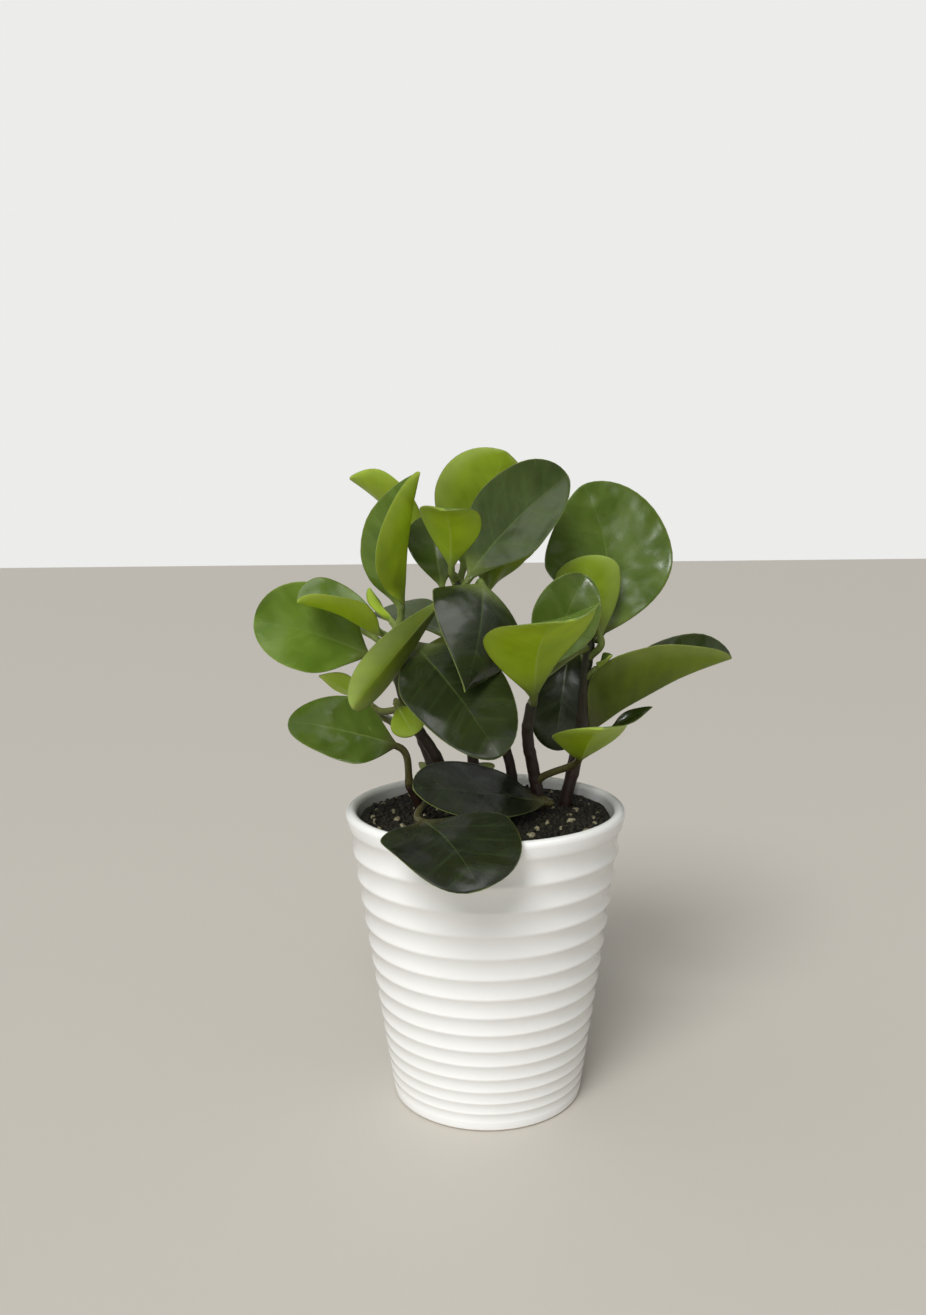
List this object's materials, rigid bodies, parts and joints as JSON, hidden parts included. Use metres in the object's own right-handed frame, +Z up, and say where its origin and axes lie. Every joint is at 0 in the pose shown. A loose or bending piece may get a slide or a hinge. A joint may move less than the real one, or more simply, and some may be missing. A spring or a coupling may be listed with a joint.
{
  "type": "potted peperomia",
  "caption": "House plant with thick oval glossy leaves on short branching stems, standing in soil in a tapered, ribbed, white glazed pot.",
  "frame": {"origin": "middle of the pot's flat foot, on the surface that it stands on", "axes": "+Z up along the pot's axis, -Y towards the front of the plant, +X to its right seen from the front"},
  "size_m": [0.2088, 0.1803, 0.2917],
  "materials": {
    "glaze": "glossy white glaze",
    "soil": "dark, coarse, damp potting soil",
    "stem": "smooth reddish brown skin, greener towards the top",
    "leaf": "waxy dark green above, satin yellow-green below"
  },
  "bodies": {
    "root": {"pot": "glaze", "soil": "soil", "stem_left": "stem", "stem_middle": "stem", "stem_fork": "stem", "stem_right": "stem", "stem_low": "stem", "stem_back": "stem", "stem_back_left": "stem", "stem_back_right": "stem", "leaf_01": "leaf", "leaf_02": "leaf", "leaf_03": "leaf", "leaf_04": "leaf", "leaf_05": "leaf", "leaf_06": "leaf", "leaf_07": "leaf", "leaf_08": "leaf", "leaf_09": "leaf", "leaf_10": "leaf", "leaf_11": "leaf", "leaf_12": "leaf", "leaf_13": "leaf", "leaf_14": "leaf", "leaf_15": "leaf", "leaf_16": "leaf", "leaf_17": "leaf", "leaf_18": "leaf", "leaf_19": "leaf", "leaf_20": "leaf", "leaf_21": "leaf", "leaf_22": "leaf", "leaf_23": "leaf", "leaf_24": "leaf", "leaf_25": "leaf", "leaf_26": "leaf", "leaf_27": "leaf", "leaf_28": "leaf", "leaf_29": "leaf", "leaf_30": "leaf", "leaf_31": "leaf", "leaf_32": "leaf", "leaf_33": "leaf", "leaf_34": "leaf", "leaf_35": "leaf", "leaf_36": "leaf"}
  },
  "joints": []
}
